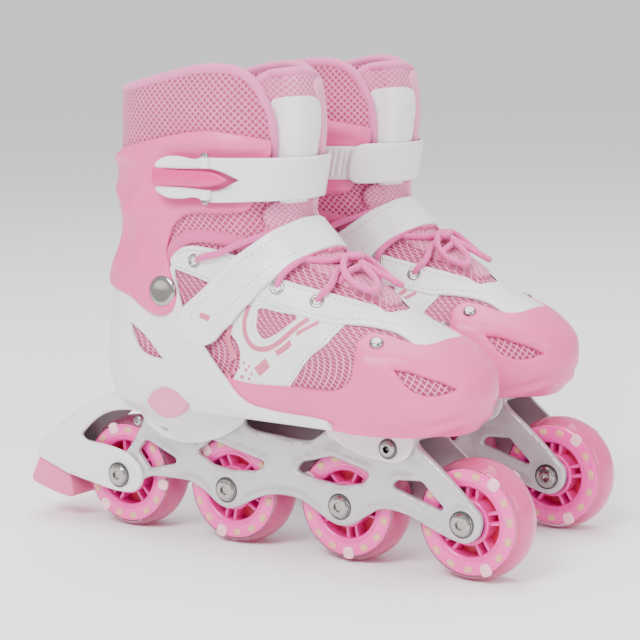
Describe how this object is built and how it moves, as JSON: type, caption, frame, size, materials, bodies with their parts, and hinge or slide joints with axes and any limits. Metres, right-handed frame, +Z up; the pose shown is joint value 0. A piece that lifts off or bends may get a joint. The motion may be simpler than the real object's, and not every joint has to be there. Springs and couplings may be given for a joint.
{
  "type": "inline skates",
  "caption": "Pair of adjustable children's inline skates with hinged cuffs, ratchet buckles, straps, laces, light wheels in alloy frames and a heel brake.",
  "frame": {"origin": "on the ground, midway between the two skates and midway from the brake pad to the front wheel of the right skate", "axes": "+X to the toes, +Y to the left skate, +Z up"},
  "size_m": [0.357, 0.2462, 0.289],
  "materials": {
    "white_shell": "moulded satin gloss",
    "pink_shell": "moulded satin gloss",
    "silver_frame": "fine silver lacquer with a bright rim",
    "bright_steel": "polished",
    "bearing_steel": "ground steel with dark shields",
    "footbed_fabric": "brushed textile",
    "white_vinyl": "coated vinyl, satin",
    "strap_vinyl": "coated vinyl, satin",
    "lace_cord": "braided cord",
    "pink_mesh": "open diagonal spacer mesh",
    "pink_button": "moulded, fine texture",
    "tongue_fabric": "padded mesh with piping",
    "white_strap": "moulded satin gloss",
    "hot_pink_plastic": "moulded satin gloss",
    "hub_pink": "moulded gloss",
    "wheel_urethane": "clear gloss urethane over a pink core",
    "brake_white": "moulded satin gloss",
    "brake_pad_pink": "moulded rubber"
  },
  "bodies": {
    "right_chassis": {"right_heel_shell": "white_shell", "right_frame": "silver_frame", "right_frame_bolts": "bright_steel", "right_bearings": "bearing_steel", "right_insole": "footbed_fabric", "right_quarter": "white_vinyl", "right_power_strap": "strap_vinyl", "right_eyelets": "bright_steel", "right_laces": "lace_cord", "right_brake_arm": "brake_white", "right_brake_pad": "brake_pad_pink"},
    "right_toe": {"right_toe_shell": "pink_shell", "right_toe_liner": "pink_mesh", "right_toe_rivets": "bright_steel"},
    "right_size_release": {"right_size_button": "pink_button"},
    "right_ankle_cuff": {"right_cuff": "pink_shell", "right_collar": "pink_mesh", "right_tongue": "tongue_fabric", "right_catch_strap": "white_strap", "right_ladder_strap": "white_strap", "right_cuff_rivets": "bright_steel"},
    "right_lever": {"right_buckle_lever": "white_strap"},
    "right_tab": {"right_release_tab": "hot_pink_plastic"},
    "right_wheel_1": {"right_hub_1": "hub_pink", "right_tyre_1": "wheel_urethane"},
    "right_wheel_2": {"right_hub_2": "hub_pink", "right_tyre_2": "wheel_urethane"},
    "right_wheel_3": {"right_hub_3": "hub_pink", "right_tyre_3": "wheel_urethane"},
    "right_wheel_4": {"right_hub_4": "hub_pink", "right_tyre_4": "wheel_urethane"},
    "left_chassis": {"left_heel_shell": "white_shell", "left_frame": "silver_frame", "left_frame_bolts": "bright_steel", "left_bearings": "bearing_steel", "left_insole": "footbed_fabric", "left_quarter": "white_vinyl", "left_power_strap": "strap_vinyl", "left_eyelets": "bright_steel", "left_laces": "lace_cord"},
    "left_toe": {"left_toe_shell": "pink_shell", "left_toe_liner": "pink_mesh", "left_toe_rivets": "bright_steel"},
    "left_size_release": {"left_size_button": "pink_button"},
    "left_ankle_cuff": {"left_cuff": "pink_shell", "left_collar": "pink_mesh", "left_tongue": "tongue_fabric", "left_catch_strap": "white_strap", "left_ladder_strap": "white_strap", "left_cuff_rivets": "bright_steel"},
    "left_lever": {"left_buckle_lever": "white_strap"},
    "left_tab": {"left_release_tab": "hot_pink_plastic"},
    "left_wheel_1": {"left_hub_1": "hub_pink", "left_tyre_1": "wheel_urethane"},
    "left_wheel_2": {"left_hub_2": "hub_pink", "left_tyre_2": "wheel_urethane"},
    "left_wheel_3": {"left_hub_3": "hub_pink", "left_tyre_3": "wheel_urethane"},
    "left_wheel_4": {"left_hub_4": "hub_pink", "left_tyre_4": "wheel_urethane"}
  },
  "joints": [
    {"name": "right_size_slide", "type": "slide", "parent": "right_chassis", "child": "right_toe", "axis": [1, 0, 0], "range_m": [0, 0.02]},
    {"name": "right_size_press", "type": "slide", "parent": "right_chassis", "child": "right_size_release", "axis": [0, 1, 0], "range_m": [0, 0.003], "stiffness_N_per_m": 400},
    {"name": "right_cuff_lean", "type": "hinge", "parent": "right_chassis", "child": "right_ankle_cuff", "pos_m": [-0.0465, -0.0675, 0.157], "axis": [0, 1, 0], "range_deg": [0, 6]},
    {"name": "right_lever_open", "type": "hinge", "parent": "right_ankle_cuff", "child": "right_lever", "pos_m": [-0.0075, -0.1199, 0.226], "axis": [0, 0, 1], "range_deg": [0, 100]},
    {"name": "right_tab_press", "type": "hinge", "parent": "right_ankle_cuff", "child": "right_tab", "pos_m": [-0.0075, -0.1199, 0.226], "axis": [0, 0, 1], "range_deg": [0, 6], "stiffness_Nm_per_rad": 0.05},
    {"name": "right_wheel_1_spin", "type": "hinge", "parent": "right_chassis", "child": "right_wheel_1", "pos_m": [-0.1025, -0.0675, 0.035], "axis": [0, 1, 0], "continuous": true},
    {"name": "right_wheel_2_spin", "type": "hinge", "parent": "right_chassis", "child": "right_wheel_2", "pos_m": [-0.0205, -0.0675, 0.035], "axis": [0, 1, 0], "continuous": true},
    {"name": "right_wheel_3_spin", "type": "hinge", "parent": "right_chassis", "child": "right_wheel_3", "pos_m": [0.0615, -0.0675, 0.035], "axis": [0, 1, 0], "continuous": true},
    {"name": "right_wheel_4_spin", "type": "hinge", "parent": "right_chassis", "child": "right_wheel_4", "pos_m": [0.1435, -0.0675, 0.035], "axis": [0, 1, 0], "continuous": true},
    {"name": "left_skate_apart", "type": "slide", "parent": "right_chassis", "child": "left_chassis", "axis": [0, 1, 0], "range_m": [0, 0.12]},
    {"name": "left_size_slide", "type": "slide", "parent": "left_chassis", "child": "left_toe", "axis": [1, 0, 0], "range_m": [0, 0.02]},
    {"name": "left_size_press", "type": "slide", "parent": "left_chassis", "child": "left_size_release", "axis": [0, -1, 0], "range_m": [0, 0.003], "stiffness_N_per_m": 400},
    {"name": "left_cuff_lean", "type": "hinge", "parent": "left_chassis", "child": "left_ankle_cuff", "pos_m": [-0.0645, 0.0675, 0.157], "axis": [0, 1, 0], "range_deg": [0, 6]},
    {"name": "left_lever_open", "type": "hinge", "parent": "left_ankle_cuff", "child": "left_lever", "pos_m": [-0.0255, 0.1199, 0.226], "axis": [0, 0, -1], "range_deg": [0, 100]},
    {"name": "left_tab_press", "type": "hinge", "parent": "left_ankle_cuff", "child": "left_tab", "pos_m": [-0.0255, 0.1199, 0.226], "axis": [0, 0, -1], "range_deg": [0, 6], "stiffness_Nm_per_rad": 0.05},
    {"name": "left_wheel_1_spin", "type": "hinge", "parent": "left_chassis", "child": "left_wheel_1", "pos_m": [-0.1205, 0.0675, 0.035], "axis": [0, 1, 0], "continuous": true},
    {"name": "left_wheel_2_spin", "type": "hinge", "parent": "left_chassis", "child": "left_wheel_2", "pos_m": [-0.0385, 0.0675, 0.035], "axis": [0, 1, 0], "continuous": true},
    {"name": "left_wheel_3_spin", "type": "hinge", "parent": "left_chassis", "child": "left_wheel_3", "pos_m": [0.0435, 0.0675, 0.035], "axis": [0, 1, 0], "continuous": true},
    {"name": "left_wheel_4_spin", "type": "hinge", "parent": "left_chassis", "child": "left_wheel_4", "pos_m": [0.1255, 0.0675, 0.035], "axis": [0, 1, 0], "continuous": true}
  ]
}
